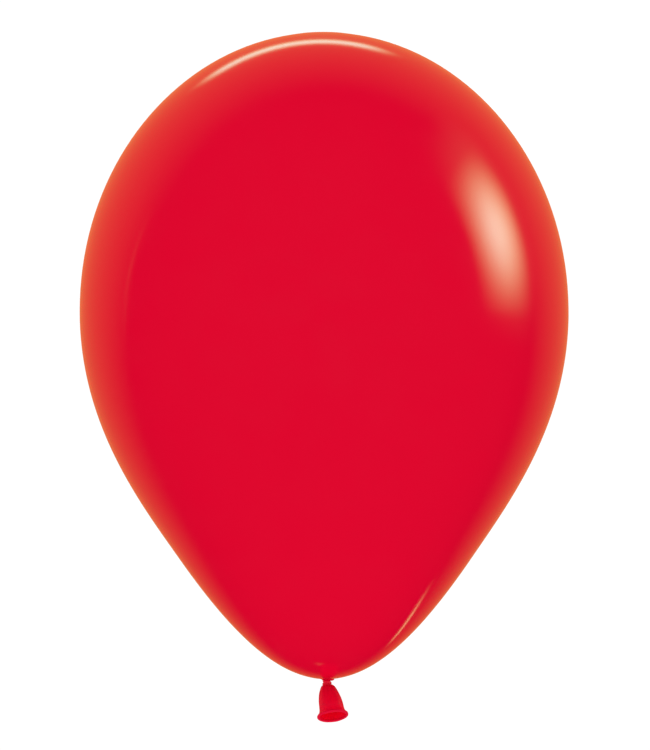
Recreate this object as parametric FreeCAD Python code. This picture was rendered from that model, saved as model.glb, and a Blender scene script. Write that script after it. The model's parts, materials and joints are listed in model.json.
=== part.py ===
"""Inflated latex balloon, tied with a knot. Millimetres, +Z up.

One dipped latex skin is blown up to a teardrop, gathered below its base and knotted. The open
neck hangs under the knot as a tail that ends in a rolled lip. The origin is the tie point: the
middle of the bare neck between the base and the knot, where a ribbon is tied. The regions of
the skin that differ in wall or that move are separate pieces.
The tail bends at the knot. The gathered throat sways from side to side round the knot, and the
skirt with its lip nods forwards and back round the throat, both about the knot's centre.
"""
import FreeCAD, Part
import math
import os

Vector = FreeCAD.Vector
Z = Vector(0, 0, 1)

# Inflated body: half an ellipse above the girth, two tangent curves below it.
girth_radius = 150.0
crown_rise = 171.0        # from the girth up to the crown
base_drop = 225.7         # from the girth down to the base
girth_handle = 69.3       # how far the side stays upright below the girth
cone_radius = 90.1        # where the lower side is straightest
cone_drop = 150.9         # that place's depth below the girth
cone_angle = 34.6         # its slope, in degrees from the vertical
cone_handle_up = 40.4     # how far the straight stretch runs up from there
cone_handle_down = 57.3   # and down
base_handle = 29.2        # how far the base stays flat from its middle
skin_wall = 0.3

# Gathered base and bare neck.
seam_rise = 1.0           # the thin skin ends this far above the base
neck_radius = 2.2
neck_length = 1.0         # bare neck between the base and the knot
neck_flare = 2.6          # how far the neck spreads out as it meets the base

# Knot: a round wad of skin with one turn pulled tight round it.
knot_radius = 2.9
turn_radius = 2.15        # of the turn's centre line
turn_thickness = 1.9      # across the strand, measured outwards
turn_height = 2.3
turn_tilt = 14.0

# Tail. Each section lies this far from the knot's centre and leans forwards by its own angle,
# so the tail leaves the knot nearly upright and bends towards -Y on its way to the mouth.
running_gap = 0.25        # between pieces that turn past each other
throat_wall = 0.3
throat_angle = 48.0       # half the angle that the throat covers
tail_tilt = 7.0           # of the whole tail, sideways towards +X
skirt_wall = 0.4
rim_drop = 1.9
rim_radius = 3.9
rim_lean = 13.0
shoulder_drop = 3.8
shoulder_width = 10.4
shoulder_depth = 9.6
shoulder_lean = 17.0
belly_drop = 9.5
belly_width = 13.2
belly_depth = 10.8
belly_lean = 25.0
hem_drop = 16.8
hem_width = 14.2
hem_depth = 11.4
hem_lean = 31.0
lip_drop = 22.8
lip_width = 16.3          # centre line of the rolled lip
lip_depth = 12.6
lip_lean = 33.0
lip_thickness = 2.1
lip_seat = 0.75           # the skirt meets the roll this far above its centre line

# Places that follow from the sizes above.
base_z = neck_length / 2
knot_top_z = -neck_length / 2
girth_z = base_z + base_drop
seam_z = base_z + seam_rise
knot_z = knot_top_z - math.sqrt(knot_radius ** 2 - neck_radius ** 2)
knot_centre = Vector(0, 0, knot_z)
knot_reach = max(knot_radius, turn_radius + turn_thickness / 2)
throat_inner = knot_reach + running_gap
throat_outer = throat_inner + throat_wall
skirt_inner = throat_outer + running_gap


def curve(*poles):
    bezier = Part.BezierCurve()
    bezier.setPoles(list(poles))
    return bezier.toShape()


def revolve(edges):
    """Close a half outline in the XZ plane along the Z axis and turn it into a solid."""
    start = edges[0].firstVertex().Point
    end = edges[-1].lastVertex().Point
    wire = Part.Wire(edges + [Part.makeLine(end, start)])
    return Part.Face(wire).revolve(Vector(0, 0, 0), Z, 360)


def body_solid(inset):
    """The inflated body, its outline moved inwards by inset."""
    radius = girth_radius - inset
    rise = crown_rise - inset
    girth = Vector(radius, 0, girth_z)
    crown = Vector(0, 0, girth_z + rise)
    ellipse = Part.Ellipse(crown, girth, Vector(0, 0, girth_z))
    dome = ellipse.toShape(0, math.pi / 2)
    dome_top = dome.valueAt(dome.FirstParameter)
    if abs(dome_top.x) > 0.001:
        dome = ellipse.toShape(3 * math.pi / 2, 2 * math.pi)
    angle = math.radians(cone_angle)
    slope = Vector(-math.sin(angle), 0, -math.cos(angle))
    inwards = Vector(-math.cos(angle), 0, math.sin(angle))
    cone = Vector(cone_radius, 0, girth_z - cone_drop) + inwards * inset
    base = Vector(0, 0, base_z + inset)
    upper = curve(girth, girth - Z * girth_handle, cone - slope * cone_handle_up, cone)
    lower = curve(cone, cone + slope * cone_handle_down, base + Vector(base_handle, 0, 0), base)
    return revolve([dome, upper, lower])


def below(height):
    """Everything around the neck that lies under a height."""
    reach = 2 * girth_radius
    return Part.makeBox(2 * reach, 2 * reach, reach, Vector(-reach, -reach, height - reach))


def envelope_skin():
    shell = body_solid(0).cut(body_solid(skin_wall))
    return shell.cut(below(seam_z))


def neck_gather():
    """The pleated skin under the base, drawn together into the bare neck."""
    pad = body_solid(0).common(below(seam_z))
    foot = Vector(neck_radius, 0, knot_top_z)
    bare = Vector(neck_radius, 0, 0)
    flare = Vector(neck_radius + neck_flare, 0, base_z + seam_rise / 2)
    edges = [
        Part.makeLine(Vector(0, 0, knot_top_z), foot),
        Part.makeLine(foot, bare),
        curve(bare, Vector(neck_radius, 0, base_z), flare),
        Part.makeLine(flare, Vector(0, 0, flare.z)),
    ]
    return pad.fuse(revolve(edges)).removeSplitter()


def knot_turn():
    """The turn of skin that is pulled tight round the knot."""
    centre = Vector(turn_radius, 0, 0)
    tall = centre + Z * (turn_height / 2)
    wide = centre + Vector(turn_thickness / 2, 0, 0)
    section = Part.Face(Part.Wire(Part.Ellipse(tall, wide, centre).toShape()))
    turn = section.revolve(Vector(0, 0, 0), Z, 360)
    turn.rotate(Vector(0, 0, 0), Vector(0, 1, 0), turn_tilt)
    turn.translate(knot_centre)
    return turn


def knot_core():
    """The strand through the knot: a round wad with a groove for the turn."""
    wad = Part.makeSphere(knot_radius, knot_centre)
    return wad.common(below(knot_top_z)).cut(knot_turn())


def hang(shape):
    """Take a shape made under a knot at the origin to its place on the balloon."""
    shape.rotate(Vector(0, 0, 0), Vector(0, -1, 0), tail_tilt)
    shape.translate(knot_centre)
    return shape


def lean(shape, angle):
    """Swing a shape forwards about the knot's centre."""
    shape.rotate(Vector(0, 0, 0), Vector(-1, 0, 0), angle)
    return shape


def oval(width, depth, drop):
    """A closed oval outline straight below the knot's centre."""
    centre = Vector(0, 0, -drop)
    side = centre + Vector(width / 2, 0, 0)
    front = centre + Vector(0, depth / 2, 0)
    return Part.Wire(Part.Ellipse(side, front, centre).toShape())


def tail_throat():
    """The gathered skin that comes out under the knot, drawn as a thin cap round it."""
    cap = Part.makeSphere(throat_outer).cut(Part.makeSphere(throat_inner))
    edge_drop = throat_inner * math.cos(math.radians(throat_angle))
    return hang(lean(cap.common(below(-edge_drop)), rim_lean))


def skirt_solid(inset):
    """The skirt's form, its sides moved inwards by inset."""
    sections = [
        (2 * rim_radius, 2 * rim_radius, rim_drop, rim_lean),
        (shoulder_width, shoulder_depth, shoulder_drop, shoulder_lean),
        (belly_width, belly_depth, belly_drop, belly_lean),
        (hem_width, hem_depth, hem_drop, hem_lean),
        (lip_width, lip_depth, lip_drop - lip_seat, lip_lean),
    ]
    outlines = []
    for width, depth, drop, angle in sections:
        outline = oval(width - 2 * inset, depth - 2 * inset, drop)
        outlines.append(lean(outline, angle))
    return Part.makeLoft(outlines, True, False)


def tail_skirt():
    """The open neck below the knot: closed over the throat, open at the lip."""
    hollow = skirt_solid(skirt_wall).cut(Part.makeSphere(skirt_inner + skirt_wall))
    skirt = skirt_solid(0).cut(hollow).cut(Part.makeSphere(skirt_inner))
    return hang(skirt)


def rolled_lip():
    """The rolled bead round the mouth."""
    path = oval(lip_width, lip_depth, lip_drop)
    start = Vector(lip_width / 2, 0, -lip_drop)
    section = Part.Wire(Part.makeCircle(lip_thickness / 2, start, Vector(0, 1, 0)))
    roll = path.makePipeShell([section], True, True)
    above = Part.makeBox(2 * lip_width, 2 * lip_width, lip_thickness,
                         Vector(-lip_width, -lip_width, lip_seat - lip_drop))
    return hang(lean(roll.cut(above), lip_lean))


PIECES = {
    "envelope_skin": envelope_skin,
    "neck_gather": neck_gather,
    "knot_core": knot_core,
    "knot_turn": knot_turn,
    "tail_throat": tail_throat,
    "tail_skirt": tail_skirt,
    "rolled_lip": rolled_lip,
}

os.makedirs("parts", exist_ok=True)
for name, make in PIECES.items():
    shape = make()
    shape.exportStep(os.path.join("parts", name + ".step"))
    print(name, shape.isValid(), len(shape.Solids), round(shape.Volume, 2))
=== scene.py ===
import json
import math
import random

import bmesh
import bpy
from mathutils import Matrix, Quaternion, Vector


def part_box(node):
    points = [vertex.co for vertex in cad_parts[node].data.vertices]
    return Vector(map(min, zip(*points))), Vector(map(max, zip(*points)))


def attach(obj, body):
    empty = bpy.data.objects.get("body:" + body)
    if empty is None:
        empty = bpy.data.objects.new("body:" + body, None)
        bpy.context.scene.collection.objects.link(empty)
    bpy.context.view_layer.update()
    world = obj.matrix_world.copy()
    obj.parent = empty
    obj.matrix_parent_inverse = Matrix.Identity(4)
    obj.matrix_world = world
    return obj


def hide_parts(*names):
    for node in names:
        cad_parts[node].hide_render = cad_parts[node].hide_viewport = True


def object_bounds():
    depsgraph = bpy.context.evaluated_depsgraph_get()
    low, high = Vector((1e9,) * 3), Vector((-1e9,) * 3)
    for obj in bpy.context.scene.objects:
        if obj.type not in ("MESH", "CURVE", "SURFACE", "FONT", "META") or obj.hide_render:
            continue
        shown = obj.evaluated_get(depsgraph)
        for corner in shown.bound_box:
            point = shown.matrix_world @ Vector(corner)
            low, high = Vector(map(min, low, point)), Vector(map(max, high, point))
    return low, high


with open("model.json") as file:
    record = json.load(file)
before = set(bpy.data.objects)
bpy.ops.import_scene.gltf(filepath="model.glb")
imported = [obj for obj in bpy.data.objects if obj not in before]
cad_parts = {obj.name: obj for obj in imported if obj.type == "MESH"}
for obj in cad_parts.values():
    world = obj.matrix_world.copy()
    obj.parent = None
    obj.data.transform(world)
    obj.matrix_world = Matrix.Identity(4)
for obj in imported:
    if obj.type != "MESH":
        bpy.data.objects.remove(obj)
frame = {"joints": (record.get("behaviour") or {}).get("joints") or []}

cad_low, cad_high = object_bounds()

# ---- Inflated skin and gathered neck ----------------------------------------------------------
# The body of the balloon: natural rubber latex, dipped on a former, pigmented red and blown up
# to a teardrop. Under the base the spare skin is drawn together in pleats into the bare neck.
# It is one piece with no seam: its outline is spun once round and only the pleats are pressed in.
MM = 0.001
TINY = 0.01 * MM                    # less than any distance between two vertices
skin_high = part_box("envelope_skin")[1]
neck_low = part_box("neck_gather")[0]
girth_radius = skin_high.x
crown_z = skin_high.z
base_z = -neck_low.z
crown_height = 171 * MM             # from the widest place up to the crown
girth_z = crown_z - crown_height
cone_drop = 150.9 * MM              # from the widest place down to the straightest one
cone_radius = 90.1 * MM
cone_angle = math.radians(34.6)     # between the outline there and the upright
ROUND = 0.5523                      # handle length that makes a quarter of an ellipse
girth_fullness = 69.3 * MM          # lengths of the outline's other handles
cone_fullness = (40.4 * MM, 57.3 * MM)
base_fullness = 29.2 * MM
spun_radius = 7 * MM                # within it the crown is a cap and the base is rings
skin_turns = 128                    # faces round the body
base_curve = 10.8                   # rise of the base, in metres per square metre of radius
# The base runs in to the neck in rings: (radius, drop below the curve of the base), in mm.
neck_rings = [(6.6, 0), (5.4, 0), (4.5, 0.02), (3.8, 0.08), (3.25, 0.2), (2.85, 0.42),
              (2.6, 0.7), (2.45, 1.2)]


def clear_selection():
    if bpy.context.object and bpy.context.object.mode != "OBJECT":
        bpy.ops.object.mode_set(mode="OBJECT")
    bpy.ops.object.select_all(action="DESELECT")


def pick(piece, wanted):
    """In edit mode, select only the vertices that the test wants."""
    mesh = bmesh.from_edit_mesh(piece.data)
    mesh.select_mode = {"VERT"}
    for vertex in mesh.verts:
        vertex.select_set(bool(wanted(vertex.co)))
    mesh.select_flush_mode()
    bmesh.update_edit_mesh(piece.data)


def turn_of(place):
    """Where a vertex lies round the upright axis, in degrees from 0 to 360."""
    return math.degrees(math.atan2(place.y, place.x)) % 360


def near_turn(place, turn, reach):
    return abs((turn_of(place) - turn + 180) % 360 - 180) < reach


def uneven_turns(count, looseness, seed):
    """Angles in degrees that go once round in uneven steps."""
    rng = random.Random(seed)
    steps = [1 + looseness * rng.uniform(-1, 1) for _ in range(count)]
    turns, at = [], 0.0
    for step in steps:
        turns.append(at)
        at += 360 * step / sum(steps)
    return turns


clear_selection()
bpy.ops.curve.primitive_bezier_curve_add(location=(0, 0, 0))
skin = bpy.context.object
skin.name = "balloon_skin"
spline = skin.data.splines[0]
spline.bezier_points.add(2)
skin.data.resolution_u = 20
crown = Vector((0, 0, crown_z))
girth = Vector((girth_radius, 0, girth_z))
cone = Vector((cone_radius, 0, girth_z - cone_drop))
cone_slope = Vector((-math.sin(cone_angle), 0, -math.cos(cone_angle)))
base = Vector((0, 0, base_z))
outwards = Vector((1, 0, 0))
up = Vector((0, 0, 1))
outline = [
    (crown, crown - outwards * ROUND * girth_radius, crown + outwards * ROUND * girth_radius),
    (girth, girth + up * ROUND * crown_height, girth - up * girth_fullness),
    (cone, cone - cone_slope * cone_fullness[0], cone + cone_slope * cone_fullness[1]),
    (base, base + outwards * base_fullness, base - outwards * base_fullness),
]
for point, (place, before, after) in zip(spline.bezier_points, outline):
    point.handle_left_type = "FREE"
    point.handle_right_type = "FREE"
    point.co = place
    point.handle_left = before
    point.handle_right = after
bpy.ops.object.convert(target="MESH")
bpy.ops.object.mode_set(mode="EDIT")
pick(skin, lambda place: place.x < spun_radius)
bpy.ops.mesh.delete(type="VERT")
last = min((vertex.co.copy() for vertex in bmesh.from_edit_mesh(skin.data).verts),
           key=lambda co: co.z)
pick(skin, lambda place: (place - last).length < TINY)
for ring, drop in neck_rings:
    radius = ring * MM
    place = Vector((radius, 0, base_z + base_curve * radius ** 2 - drop * MM))
    bpy.ops.mesh.extrude_region_move(TRANSFORM_OT_translate={"value": place - last})
    last = place
bpy.ops.mesh.select_all(action="SELECT")
bpy.ops.mesh.spin(steps=skin_turns, angle=2 * math.pi, center=(0, 0, 0), axis=(0, 0, 1))
bpy.ops.mesh.select_all(action="SELECT")
bpy.ops.mesh.remove_doubles(threshold=TINY)
# The crown is closed with a flat grid, which is then pulled up into a dome from its middle.
top_ring = max((vertex.co.copy() for vertex in bmesh.from_edit_mesh(skin.data).verts),
               key=lambda co: co.z)
pick(skin, lambda place: place.z > top_ring.z - TINY)
bpy.ops.mesh.fill_grid(span=skin_turns // 4)
pick(skin, lambda place: place.z > crown_z / 2 and place.xy.length < 10 * TINY)
bpy.ops.transform.translate(value=(0, 0, crown_z - top_ring.z), use_proportional_edit=True,
                            proportional_edit_falloff="INVERSE_SQUARE",
                            proportional_size=top_ring.xy.length)
pick(skin, lambda place: place.z < last.z + TINY)
bpy.ops.mesh.edge_face_add()
bpy.ops.mesh.select_all(action="SELECT")
bpy.ops.mesh.normals_make_consistent(inside=False)

# The pleats: valleys pressed up into the base by (radius reached, rise) in mm, and then pinched
# into the neck to a share of its radius.
base_presses = [(11.0, 0.10), (8.0, 0.16), (6.0, 0.22), (4.6, 0.22)]
pressed_below = 3 * MM              # height under which the skin is pressed
pressed_from = 3 * MM               # distance from the axis at which the presses start
pinched_radius = 3.2 * MM
pinch = 0.84
turn_step = 360 / skin_turns
for valley in uneven_turns(count=17, looseness=0.35, seed=4):
    meridian = round(valley / turn_step) * turn_step
    for reach, rise in base_presses:
        pick(skin, lambda place: place.z < pressed_below
             and pressed_from < place.xy.length < reach * MM
             and near_turn(place, meridian, turn_step * 0.6))
        bpy.ops.transform.translate(value=(0, 0, rise * MM))
    pick(skin, lambda place: place.xy.length < pinched_radius and place.z < base_z
         and near_turn(place, meridian, turn_step * 1.6))
    bpy.ops.transform.resize(value=(pinch, pinch, 1), center_override=(0, 0, 0))
# Over the knot the neck is squeezed into an oval, wider across than it is deep.
squeezed_radius = 3.6 * MM
squeeze = (1.1, 0.83, 1)
squeezed_about = (-1.4 * MM, 0, 0)
pick(skin, lambda place: place.xy.length < squeezed_radius and place.z < base_z)
bpy.ops.transform.resize(value=squeeze, center_override=squeezed_about)
# One fold bulges out over the knot.
fold_radius = 3.9 * MM
fold_low_z = -0.5 * MM
fold_turn, fold_reach = 15, 26      # degrees
fold_bulge = (1.2 * MM, 0, -0.1 * MM)
pick(skin, lambda place: place.xy.length < fold_radius and fold_low_z < place.z < base_z
     and near_turn(place, fold_turn, fold_reach))
bpy.ops.transform.translate(value=fold_bulge)
bpy.ops.object.mode_set(mode="OBJECT")


def smooth_over(piece, levels):
    """Round a piece's mesh with subdivision, applied."""
    modifier = piece.modifiers.new("Subdivision", "SUBSURF")
    modifier.levels = levels
    modifier.render_levels = levels
    bpy.context.view_layer.objects.active = piece
    bpy.ops.object.modifier_apply(modifier=modifier.name)
    bpy.ops.object.shade_smooth()


smooth_over(skin, 1)


def linear(colour):
    """A six-figure sRGB hex colour as linear RGBA."""
    parts = [int(colour[i:i + 2], 16) / 255 for i in (0, 2, 4)]
    return [c / 12.92 if c <= 0.04045 else ((c + 0.055) / 1.055) ** 2.4 for c in parts] + [1.0]


def add_node(tree, kind, settings=(), inputs=(), links=()):
    """Add a node, set its properties and sockets, and link other nodes' outputs into it."""
    node = tree.nodes.new(kind)
    for name, value in dict(settings).items():
        setattr(node, name, value)
    for name, value in dict(inputs).items():
        node.inputs[name].default_value = value
    for name, output in dict(links).items():
        tree.links.new(output, node.inputs[name])
    return node


def coat(piece, material):
    """Give a piece one material all over."""
    piece.data.materials.clear()
    piece.data.materials.append(material)


def dipped_latex(name, to_colour, from_colour, to_z, from_z, roughness, gleam=0.5,
                 through=0.0):
    """Dipped natural rubber latex with red pigment: a smooth film with no grain, wet-looking where
    it is stretched and duller where it is bunched. Its colour runs by height between two given
    colours, each set at its own height; in places these colours are lighter than the rubber's own
    red, as painted light that makes up for shade. Slow unevenness in the dip shows only as faint
    changes in gloss and colour. Gleam is how strongly it mirrors, 0.5 for clean rubber, and
    through is the share of the light that passes through the film."""
    drip = 18 * MM                  # width of a drip or thick spot left by the dip
    pebble = 0.9 * MM               # width of a pebble on the film, which is never quite flat
    pebble_height = 0.01 * MM
    material = bpy.data.materials.new(name)
    material.use_nodes = True
    tree = material.node_tree
    tree.nodes.clear()
    place = add_node(tree, "ShaderNodeTexCoord")
    height = add_node(tree, "ShaderNodeSeparateXYZ", links={"Vector": place.outputs["Object"]})
    # The colour ramps with height between the two colours, which in places are lightened as
    # painted light to make up for shade.
    ramp_by_height = add_node(tree, "ShaderNodeMapRange", settings={"interpolation_type": "SMOOTHERSTEP"},
                       inputs={"From Min": from_z, "From Max": to_z},
                       links={"Value": height.outputs["Z"]})
    drips = add_node(tree, "ShaderNodeTexNoise", inputs={"Scale": 1 / drip, "Detail": 2.0},
                     links={"Vector": place.outputs["Object"]})
    uneven = add_node(tree, "ShaderNodeMapRange", inputs={"To Min": 0.0, "To Max": 0.06},
                      links={"Value": drips.outputs["Fac"]})
    ramp_share = add_node(tree, "ShaderNodeMath", settings={"operation": "SUBTRACT", "use_clamp": True},
                    links={0: ramp_by_height.outputs["Result"], 1: uneven.outputs["Result"]})
    # The two colours of a colour mix are its inputs 6 and 7.
    colour = add_node(tree, "ShaderNodeMix", settings={"data_type": "RGBA"},
                      inputs={6: linear(from_colour), 7: linear(to_colour)},
                      links={"Factor": ramp_share.outputs["Value"]})
    gloss = add_node(tree, "ShaderNodeMapRange",
                     inputs={"To Min": roughness - 0.02, "To Max": roughness + 0.02},
                     links={"Value": drips.outputs["Fac"]})
    pebbles = add_node(tree, "ShaderNodeTexNoise", inputs={"Scale": 1 / pebble, "Detail": 1.0},
                       links={"Vector": place.outputs["Object"]})
    bump = add_node(tree, "ShaderNodeBump", inputs={"Strength": 0.15, "Distance": pebble_height},
                    links={"Height": pebbles.outputs["Fac"]})
    shader = add_node(tree, "ShaderNodeBsdfPrincipled",
                      inputs={"IOR": 1.52, "Specular IOR Level": gleam},
                      links={"Base Color": colour.outputs[2], "Roughness": gloss.outputs["Result"],
                             "Normal": bump.outputs["Normal"]})
    sheen = shader
    if through:
        passing = add_node(tree, "ShaderNodeBsdfTranslucent", links={"Color": colour.outputs[2]})
        sheen = add_node(tree, "ShaderNodeMixShader", inputs={0: through},
                         links={1: shader.outputs["BSDF"], 2: passing.outputs["BSDF"]})
    add_node(tree, "ShaderNodeOutputMaterial", links={"Surface": sheen.outputs[0]})
    return material


# The body's red is lighter at the base round the neck than higher up: painted light that makes up
# for the shade there.
stretched_latex = dipped_latex("stretched_red_latex", "E0002C", "E6002C",
                               to_z=14 * MM, from_z=-1 * MM, roughness=0.10)
coat(skin, stretched_latex)
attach(skin, "balloon")
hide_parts("envelope_skin", "neck_gather")

# ---- Knot -------------------------------------------------------------------------------------
# The neck is tied in an overhand knot and pulled tight: a bunched strand, twisted in folds, with
# a turn of the same strand laid round it and tucked back under itself. It is the unstretched,
# thick part of the skin.
sway, nod = frame["joints"]
bend = Vector(sway["pos_m"])
knot_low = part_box("knot_core")[0]
knot_ball = 0.92 * (bend.z - knot_low.z)            # radius: clear of the collar that turns on it
knot_middle = bend + Vector((0.2 * MM, 0, 0))       # the knot sits a little off the axis
strand_radius = 0.92 * MM
strand_sides = 16
tucked_end = 0.7                    # share of the strand's thickness that its ends have
# Where the turn runs: (degrees round from +X, distance from the axis in mm, height over the
# centre in mm).
turn_route = [
    (150, 0.55, 1.0), (165, 1.5, 1.8), (195, 2.35, 1.45), (240, 2.2, 1.5), (290, 2.05, 1.3),
    (335, 2.05, 0.85), (20, 2.15, 0.3), (65, 2.35, -0.3), (110, 2.35, -0.3), (155, 2.35, 0.0),
    (200, 2.35, -0.3), (240, 2.1, -0.9), (280, 1.3, -1.4), (320, 0.45, -1.3),
]
clear_selection()
bpy.ops.curve.primitive_nurbs_path_add(location=(0, 0, 0))
turn = bpy.context.object
turn.name = "knot_turn_strand"
spline = turn.data.splines[0]
spline.points.add(len(turn_route) - len(spline.points))
for point, (angle, out, height) in zip(spline.points, turn_route):
    across = Matrix.Rotation(math.radians(angle), 3, "Z") @ Vector((out * MM, 0, 0))
    point.co = (*(knot_middle + across + Vector((0, 0, height * MM))), 1)
    point.radius = 1.0
spline.points[0].radius = tucked_end
spline.points[-1].radius = tucked_end
spline.order_u = 4
spline.use_endpoint_u = True
spline.resolution_u = 8
turn.data.bevel_depth = strand_radius
turn.data.bevel_resolution = strand_sides // 2 - 2
turn.data.use_fill_caps = True
bpy.ops.object.convert(target="MESH")


def fold_strand(piece, sides, folds, twist, depth):
    """Press lengthwise folds into a strand whose vertices lie in rings of that many sides. Twist
    is how many sides the folds go round by from one ring to the next."""
    bpy.ops.object.mode_set(mode="EDIT")
    mesh = bmesh.from_edit_mesh(piece.data)
    mesh.select_mode = {"VERT"}
    for vertex in mesh.verts:
        ring, place = divmod(vertex.index, sides)
        vertex.select_set(round(place - ring * twist) % (sides // folds) == 0)
    mesh.select_flush_mode()
    bmesh.update_edit_mesh(piece.data)
    bpy.ops.transform.shrink_fatten(value=-depth)
    bpy.ops.object.mode_set(mode="OBJECT")


def weld():
    """Close the seams of the active piece and turn its faces outwards."""
    bpy.ops.object.mode_set(mode="EDIT")
    bpy.ops.mesh.select_all(action="SELECT")
    bpy.ops.mesh.remove_doubles(threshold=TINY / 10)
    bpy.ops.mesh.normals_make_consistent(inside=False)
    bpy.ops.object.mode_set(mode="OBJECT")


fold_strand(turn, strand_sides, folds=4, twist=0.12, depth=0.16 * MM)
weld()
smooth_over(turn, 1)

# The bunched strand inside the turn: a ball of folds that twist as they go down.
fold_layers = 10                    # above the middle, and as many below it
fold_twist = 6                      # degrees from one layer to the next
fold_width = 6                      # degrees to each side
fold_squeeze = 0.84
layer_half = 0.13 * MM              # half the height of a layer
clear_selection()
bpy.ops.mesh.primitive_uv_sphere_add(segments=42, ring_count=24, radius=knot_ball,
                                     location=knot_middle)
core = bpy.context.object
core.name = "knot_strand"
bpy.ops.object.transform_apply(location=True, rotation=True, scale=True)
bpy.ops.object.mode_set(mode="EDIT")
for fold in uneven_turns(count=9, looseness=0.3, seed=11):
    for layer in range(-fold_layers, fold_layers + 1):
        level = layer / (fold_layers + 1) * knot_ball
        pick(core, lambda place: abs(place.z - bend.z - level) < layer_half
             and near_turn(place, (fold + fold_twist * layer) % 360, fold_width))
        bpy.ops.transform.resize(value=(fold_squeeze, fold_squeeze, 1),
                                 center_override=knot_middle)
bpy.ops.object.mode_set(mode="OBJECT")
smooth_over(core, 1)

# The knot's red is lighter than the body's: painted light that makes up for the shade under the
# balloon.
bunched_latex = dipped_latex("bunched_red_latex", "FA0036", "F00030",
                             to_z=-22 * MM, from_z=0, roughness=0.5, gleam=0.2)
for piece in (turn, core):
    coat(piece, bunched_latex)
    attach(piece, "balloon")
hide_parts("knot_core")
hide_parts("knot_turn")

# ---- Throat -----------------------------------------------------------------------------------
# The skin that comes out under the knot, gathered in pleats and drawn snugly round the knot's
# underside. It turns with the tail's sway, so it is a collar that lies on the knot all round.
# How far the tail leans forwards: (drop from the knot's centre in mm, degrees).
tail_leans = [(0, 13), (1.9, 13), (3.8, 17), (9.5, 25), (16.8, 31), (22.8, 33), (40, 33)]
tail_side = -Vector(nod["axis"]).normalized()
tail_back = Vector((0, 1, 0))
to_tail = Matrix((tail_side, tail_back, tail_side.cross(tail_back))).transposed().to_4x4()
to_tail.translation = bend


def lean_at(drop):
    """The lean in degrees at a drop in mm below the knot's centre."""
    for (above, first), (under, last) in zip(tail_leans, tail_leans[1:]):
        if drop <= under:
            return first + (last - first) * (drop - above) / (under - above)


def lean(piece, fixed=None):
    """Swing each level of a piece forwards about the knot's centre, by its own lean, or all of
    it by the lean that belongs to one fixed drop in mm."""
    levels = {}
    for vertex in piece.data.vertices:
        drop = fixed or round(-vertex.co.z / MM, 3)
        levels.setdefault(drop, set()).add(vertex.index)
    clear_selection()
    piece.select_set(True)
    bpy.context.view_layer.objects.active = piece
    bpy.ops.object.mode_set(mode="EDIT")
    mesh = bmesh.from_edit_mesh(piece.data)
    mesh.select_mode = {"VERT"}
    for drop, level in levels.items():
        for vertex in mesh.verts:
            vertex.select_set(vertex.index in level)
        mesh.select_flush_mode()
        bpy.ops.transform.rotate(value=math.radians(lean_at(drop)), orient_axis="X",
                                 center_override=(0, 0, 0))
    bpy.ops.object.mode_set(mode="OBJECT")


def hang(piece):
    """Take a piece modelled under a knot at the origin to its place on the balloon."""
    piece.matrix_world = to_tail
    clear_selection()
    piece.select_set(True)
    bpy.context.view_layer.objects.active = piece
    bpy.ops.object.transform_apply(location=True, rotation=True, scale=True)


def tube(name, sides, rings):
    """A tube down the Z axis from rings of (drop, half width, half depth, side shift), in mm."""
    clear_selection()
    drop, width, depth, shift = rings[0]
    bpy.ops.mesh.primitive_circle_add(vertices=sides, radius=MM, location=(0, 0, -drop * MM))
    piece = bpy.context.object
    piece.name = name
    bpy.ops.object.transform_apply(location=True, rotation=True, scale=True)
    bpy.ops.object.mode_set(mode="EDIT")
    bpy.ops.mesh.select_all(action="SELECT")
    bpy.ops.transform.resize(value=(width, depth, 1), center_override=(0, 0, 0))
    bpy.ops.transform.translate(value=(shift * MM, 0, 0))
    before = rings[0]
    for ring in rings[1:]:
        step = Vector((0, 0, before[0] - ring[0])) * MM
        bpy.ops.mesh.extrude_region_move(TRANSFORM_OT_translate={"value": step})
        middle = (before[3] * MM, 0, 0)
        bpy.ops.transform.resize(value=(ring[1] / before[1], ring[2] / before[2], 1),
                                 center_override=middle)
        bpy.ops.transform.translate(value=((ring[3] - before[3]) * MM, 0, 0))
        before = ring
    bpy.ops.object.mode_set(mode="OBJECT")
    return piece


def pleat(piece, valleys, reach, drop, fade, depth, inner=0.0):
    """Press valleys into a tube: each reaches some degrees to either side, and its depth is a
    share of the radius, which is full at the drop and nothing at the fade, both in mm. What lies
    within the inner radius round the knot's centre, also in mm, stays smooth."""
    bpy.ops.object.mode_set(mode="EDIT")
    levels = sorted({round(v.co.z / MM, 3) for v in bmesh.from_edit_mesh(piece.data).verts})
    same_level = 0.002              # mm
    for level in levels:
        share = depth * max(0.0, 1 - (-level - drop) / (fade - drop))
        if share <= 0:
            continue
        for valley in valleys:
            pick(piece, lambda place: abs(place.z / MM - level) < same_level
                 and place.length > inner * MM and near_turn(place, valley, reach))
            bpy.ops.transform.resize(value=(1 - share, 1 - share, 1), center_override=(0, 0, 0))
    bpy.ops.object.mode_set(mode="OBJECT")


def ball_rings(radius, angles):
    """Rings for a tube on a ball round the knot's centre, at angles from straight down."""
    rings = []
    for angle in angles:
        width = radius * math.sin(math.radians(angle))
        rings.append((radius * math.cos(math.radians(angle)), width, width, 0))
    return rings


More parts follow.
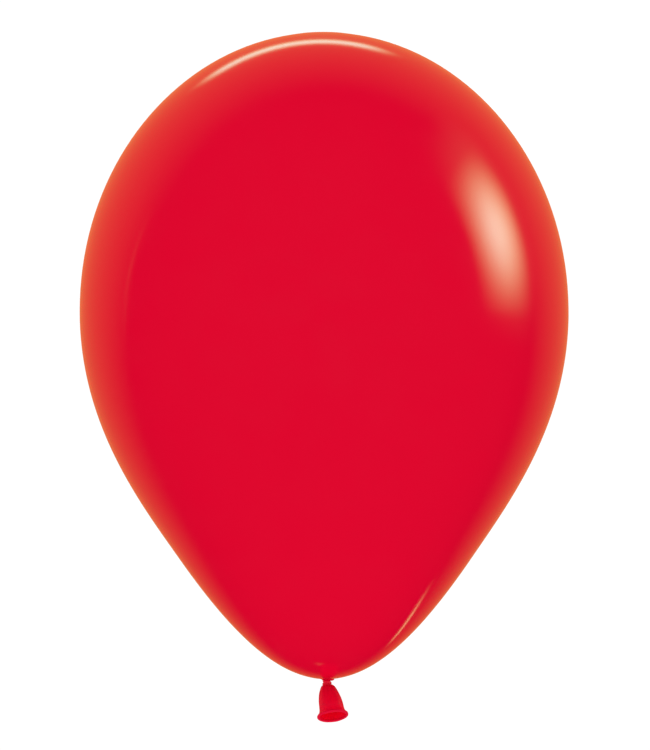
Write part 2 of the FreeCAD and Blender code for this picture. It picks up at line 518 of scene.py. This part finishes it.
# The collar goes up inside on a ball that clears the knot, over its edge and down outside.
collar_valleys = uneven_turns(count=15, looseness=0.3, seed=21)
collar_rings = (ball_rings(3.27, (4, 14, 26, 38, 50, 62, 72))
                + [(0.88, 3.28, 3.28, 0), (0.9, 3.42, 3.42, 0)]
                + ball_rings(3.5, (74, 64, 52, 40, 28, 16, 4)))
tail_sides = 60
collar = tube("throat_gather", tail_sides, collar_rings)
pleat(collar, collar_valleys, reach=3.1, drop=0.6, fade=3.6, depth=0.06)
bpy.ops.object.mode_set(mode="EDIT")
bpy.ops.mesh.select_all(action="SELECT")
bpy.ops.mesh.fill_holes(sides=0)
bpy.ops.mesh.normals_make_consistent(inside=False)
bpy.ops.object.mode_set(mode="OBJECT")
lean(collar)
smooth_over(collar, 1)
hang(collar)
# The collar takes the knot's lightened red: painted light that makes up for the shade under the
# balloon.
coat(collar, bunched_latex)
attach(collar, "throat")
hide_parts("tail_throat")

# ---- Skirt ------------------------------------------------------------------------------------
# The open neck that hangs below the knot: unstretched skin about 0.35 mm thick. Its pleats run
# together at the knot and die out a third of the way down, it bulges and then hangs nearly
# straight, and it flares where it meets the rolled lip. One side has slumped, so it isn't round.
skirt_wall = 0.35 * MM
slump_from_z = -17.5 * MM           # height under which the mouth has slumped
slump_beside = 0.5 * MM             # this near its middle line it keeps its place
front_slump = 0.88                  # shares of their distance from that line which the front
back_slump = 1.05                   # and the back of the mouth then have
# A cup close under the collar, and then the skirt itself, in rings as a tube takes them.
skirt_rings = (ball_rings(3.62, (4, 20, 36, 50, 60))
               + [(1.45, 3.32, 3.32, 0), (1.5, 3.6, 3.58, 0.08), (2.1, 4.0, 3.9, 0.25),
                  (2.9, 4.45, 4.3, 0.3), (4.0, 4.9, 4.65, 0.32), (6.0, 5.65, 5.1, 0.35),
                  (8.2, 6.25, 5.35, 0.45), (10.5, 6.7, 5.5, 0.6), (13.3, 7.0, 5.65, 0.85),
                  (16.0, 7.15, 5.75, 1.05), (18.4, 7.3, 5.8, 1.1), (19.8, 7.6, 5.9, 1.1),
                  (21.0, 8.0, 6.1, 1.1), (21.9, 8.4, 6.3, 1.1)])
skirt = tube("tail_skirt_pleated", tail_sides, skirt_rings)
skirt_valleys = uneven_turns(count=13, looseness=0.35, seed=33)
pleat(skirt, skirt_valleys, reach=3.1, drop=1.6, fade=11.0, depth=0.10, inner=4.2)
bpy.ops.object.mode_set(mode="EDIT")
# The first and smallest ring is drawn together, which closes the skirt under the knot.
first_ring_reach = 0.4 * MM
pick(skirt, lambda place: place.xy.length < first_ring_reach)
bpy.ops.mesh.merge(type="CENTER")
bpy.ops.mesh.select_all(action="SELECT")
bpy.ops.mesh.normals_make_consistent(inside=False)
# The front of the mouth has sunk in, and the back bulges out a little.
pick(skirt, lambda place: place.z < slump_from_z and place.y < -slump_beside)
bpy.ops.transform.resize(value=(1, front_slump, 1), center_override=(0, 0, 0))
pick(skirt, lambda place: place.z < slump_from_z and place.y > slump_beside)
bpy.ops.transform.resize(value=(1, back_slump, 1), center_override=(0, 0, 0))
bpy.ops.object.mode_set(mode="OBJECT")
lean(skirt)


def dent(piece, strength, size):
    """Slow unevenness, as soft rubber has: strength is the most that a dent and a bump can differ
    in height, and size is about the width of one."""
    dents = bpy.data.textures.new(piece.name + "_dents", "CLOUDS")
    dents.noise_scale = size
    modifier = piece.modifiers.new("Dents", "DISPLACE")
    modifier.texture = dents
    modifier.texture_coords = "LOCAL"
    modifier.strength = strength
    modifier.mid_level = 0.5
    bpy.context.view_layer.objects.active = piece
    bpy.ops.object.modifier_apply(modifier=modifier.name)


smooth_over(skirt, 1)
dent(skirt, strength=0.5 * MM, size=7 * MM)
wall = skirt.modifiers.new("Wall", "SOLIDIFY")
wall.thickness = skirt_wall
wall.offset = -1
bpy.ops.object.modifier_apply(modifier=wall.name)
smooth_over(skirt, 1)
hang(skirt)
# The skirt's red is lighter than the body's: painted light that makes up for the shade under the
# balloon.
skirt_latex = dipped_latex("unstretched_red_latex", "F6003C", "F40038",
                           to_z=-10 * MM, from_z=-2 * MM, roughness=0.42, gleam=0.12,
                           through=0.45)
coat(skirt, skirt_latex)
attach(skirt, "tail")
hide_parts("tail_skirt")

# ---- Rolled lip -------------------------------------------------------------------------------
# The mouth's edge, rolled up on itself into a solid bead while the dipped skin was still wet.
# The collapsed mouth has pulled it into an oval, and the roll is never quite even.
lip_width = 8.75 * MM
lip_depth = 6.4 * MM
lip_place = Vector((1.12, 0, -22.5)) * MM
roll_radius = 0.86 * MM
lip_front = 0.86                    # shares, as for the mouth of the skirt
lip_back = 1.05
clear_selection()
bpy.ops.curve.primitive_bezier_circle_add(radius=1, location=lip_place)
lip = bpy.context.object
lip.name = "rolled_lip_bead"
bpy.ops.object.transform_apply(location=True, rotation=True, scale=True)
bpy.ops.object.mode_set(mode="EDIT")
bpy.ops.curve.select_all(action="SELECT")
bpy.ops.transform.resize(value=(lip_width, lip_depth, 1), center_override=lip_place)
bpy.ops.object.mode_set(mode="OBJECT")
for point in lip.data.splines[0].bezier_points:
    if abs(point.co.y) < 10 * TINY:
        continue
    share = lip_front if point.co.y < 0 else lip_back
    for place in (point.co, point.handle_left, point.handle_right):
        place.y *= share
lip.data.resolution_u = 24
lip.data.bevel_depth = roll_radius
lip.data.bevel_resolution = 6
bpy.ops.object.convert(target="MESH")
weld()
dent(lip, strength=0.3 * MM, size=4 * MM)
smooth_over(lip, 1)
lean(lip, fixed=-lip_place.z / MM)
hang(lip)
# The lip's red is darker at its top and lighter towards its bottom.
lip_latex = dipped_latex("rolled_red_latex", "DC0030", "E80034",
                         to_z=-20 * MM, from_z=-28 * MM, roughness=0.45, gleam=0.06)
coat(lip, lip_latex)
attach(lip, "tail")
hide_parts("rolled_lip")

# ---- Studio -----------------------------------------------------------------------------------
# A plain pale floor well under the hanging balloon, and an even white room that lights it the
# same from all sides. Soft panels stand where the gloss shows them: they only make reflections.
floor_depth = 0.75
floor_radius = 1.3
clear_selection()
bpy.ops.mesh.primitive_circle_add(vertices=96, radius=floor_radius, fill_type="NGON",
                                  location=(0, 0, cad_low.z - floor_depth))
floor = bpy.context.object
floor.name = "studio_floor"
floor_paint = bpy.data.materials.new("pale_matt_floor")
floor_paint.use_nodes = True
paint_shader = floor_paint.node_tree.nodes["Principled BSDF"]
paint_shader.inputs["Base Color"].default_value = linear("FDFDFB")
paint_shader.inputs["Roughness"].default_value = 0.9
floor.data.materials.append(floor_paint)
floor.visible_glossy = False

room = bpy.data.worlds.new("white_room")
bpy.context.scene.world = room
room.use_nodes = True
air = room.node_tree
air.nodes.clear()
glow = add_node(air, "ShaderNodeBackground", inputs={"Color": (1, 1, 1, 1), "Strength": 1.04})
add_node(air, "ShaderNodeOutputWorld", links={"Surface": glow.outputs["Background"]})
room.cycles_visibility.glossy = False

balloon_middle = Vector((0, 0, girth_z))
panel_distance = 6.0                # so far that only its direction matters to the gloss


def panel(name, turn, rise, roll, wide, tall, fades, strength, middle, edge):
    """A glowing panel that faces the balloon's middle and adds to what lies behind it. Turn is
    from straight behind the balloon towards +X, wide and tall are the angles from the panel's own
    middle to its edges, fades are the shares of them over which the glow dies out, and its colour
    goes from the middle's to the edge's. All angles are in degrees."""
    round_by, up_by = math.radians(turn), math.radians(rise)
    way = Vector((math.sin(round_by) * math.cos(up_by), math.cos(round_by) * math.cos(up_by),
                  math.sin(up_by)))
    clear_selection()
    bpy.ops.mesh.primitive_plane_add(size=2, location=(0, 0, 0))
    piece = bpy.context.object
    piece.name = name
    piece.scale = (panel_distance * math.tan(math.radians(wide)),
                   panel_distance * math.tan(math.radians(tall)), 1)
    piece.rotation_mode = "QUATERNION"
    facing = way.to_track_quat("Z", "Y")
    piece.rotation_quaternion = facing @ Quaternion((0, 0, 1), math.radians(roll))
    piece.location = balloon_middle + way * panel_distance
    material = bpy.data.materials.new(name + "_glow")
    material.use_nodes = True
    tree = material.node_tree
    tree.nodes.clear()
    place = add_node(tree, "ShaderNodeTexCoord")
    parts = add_node(tree, "ShaderNodeSeparateXYZ", links={"Vector": place.outputs["Object"]})
    levels = []
    for axis, fade in zip("XY", fades):
        away = add_node(tree, "ShaderNodeMath", settings={"operation": "ABSOLUTE"},
                        links={0: parts.outputs[axis]})
        levels.append(add_node(tree, "ShaderNodeMapRange",
                               settings={"interpolation_type": "SMOOTHSTEP"},
                               inputs={"From Min": 1.0, "From Max": 1.0 - fade},
                               links={"Value": away.outputs["Value"]}))
    both = add_node(tree, "ShaderNodeMath", settings={"operation": "MULTIPLY"},
                    links={0: levels[0].outputs["Result"], 1: levels[1].outputs["Result"]})
    power = add_node(tree, "ShaderNodeMath", settings={"operation": "MULTIPLY"},
                     inputs={1: strength}, links={0: both.outputs["Value"]})
    tint = add_node(tree, "ShaderNodeMix", settings={"data_type": "RGBA"},
                    inputs={6: linear(edge), 7: linear(middle)},
                    links={"Factor": both.outputs["Value"]})
    lamp = add_node(tree, "ShaderNodeEmission",
                    links={"Color": tint.outputs[2], "Strength": power.outputs["Value"]})
    clear = add_node(tree, "ShaderNodeBsdfTransparent")
    film = add_node(tree, "ShaderNodeAddShader",
                    links={0: lamp.outputs["Emission"], 1: clear.outputs["BSDF"]})
    add_node(tree, "ShaderNodeOutputMaterial", links={"Surface": film.outputs["Shader"]})
    piece.data.materials.append(material)
    piece.visible_camera = False
    piece.visible_diffuse = False
    piece.visible_shadow = False


# The rubber adds its own red to a highlight, so the bright panels hold less red than green. The
# backdrop's glow is a warm one, and it shows towards the balloon's edges.
panel("backdrop_glow", turn=-4.4, rise=19, roll=0, wide=74, tall=67.6,
      fades=(1.0, 1.0), strength=1.0, middle="F39255", edge="F39255")
panel("overhead_strip", turn=-6.3, rise=38.1, roll=-7.6, wide=18.7, tall=6.0,
      fades=(0.42, 1.0), strength=2.85, middle="90FFEE", edge="98F9A8")
panel("overhead_halo", turn=-5.7, rise=37.2, roll=-6.2, wide=21.2, tall=9.6,
      fades=(1.0, 0.83), strength=0.25, middle="98F9A8", edge="98F9A8")
panel("side_softbox", turn=84.6, rise=19.6, roll=0, wide=20.2, tall=22.1,
      fades=(1.0, 1.0), strength=8.7, middle="ADFFDF", edge="BCF3A0")
panel("side_halo", turn=82, rise=23, roll=-3, wide=23.9, tall=31.7,
      fades=(1.0, 1.0), strength=1.05, middle="BCF3A0", edge="BCF3A0")
panel("low_strip", turn=38.2, rise=-36.9, roll=0, wide=8.4, tall=1.4,
      fades=(0.8, 1.0), strength=3.7, middle="D0F3A8", edge="D0F3A0")
panel("floor_strip", turn=-8, rise=-63.5, roll=0, wide=4.5, tall=3.0,
      fades=(1.0, 1.0), strength=0.6, middle="FFF3A0", edge="FFF3A0")
panel("left_edge_line", turn=-75.5, rise=9, roll=-11, wide=1.6, tall=19,
      fades=(1.0, 1.0), strength=0.25, middle="FFF3A0", edge="FFF3A0")

# A narrow soft lamp from the front and a little below fills in the shade under the balloon.
fill_place = (0, -1.8, -0.5)
fill_energy = 9                     # watts
fill_spread = math.radians(9.0)
fill_softness = 0.12                # radius of the lamp, in metres
clear_selection()
bpy.ops.object.light_add(type="SPOT", location=fill_place)
fill = bpy.context.object
fill.name = "tail_fill"
fill.rotation_euler = (bend - fill.location).to_track_quat("-Z", "Y").to_euler()
fill.data.energy = fill_energy
fill.data.spot_size = fill_spread
fill.data.spot_blend = 1.0
fill.data.shadow_soft_size = fill_softness
fill.visible_glossy = False

# The camera looks level at the balloon's middle from the front, through a long lens.
camera_distance = 3.5
frame_height = 0.4599               # height of the view at the balloon, in metres
view_middle = Vector((0.25, 0, 187.0)) * MM
camera_roll = 0.42                  # degrees: the balloon hangs a little out of the upright
sensor_width = 36
camera_data = bpy.data.cameras.new("camera")
camera = bpy.data.objects.new("camera", camera_data)
bpy.context.scene.collection.objects.link(camera)
camera.location = view_middle - Vector((0, camera_distance, 0))
camera.rotation_euler = (math.radians(90), math.radians(camera_roll), 0)
camera_data.sensor_width = sensor_width
camera_data.lens = sensor_width * camera_distance / frame_height
bpy.context.scene.camera = camera
bpy.context.scene.view_settings.view_transform = "Standard"
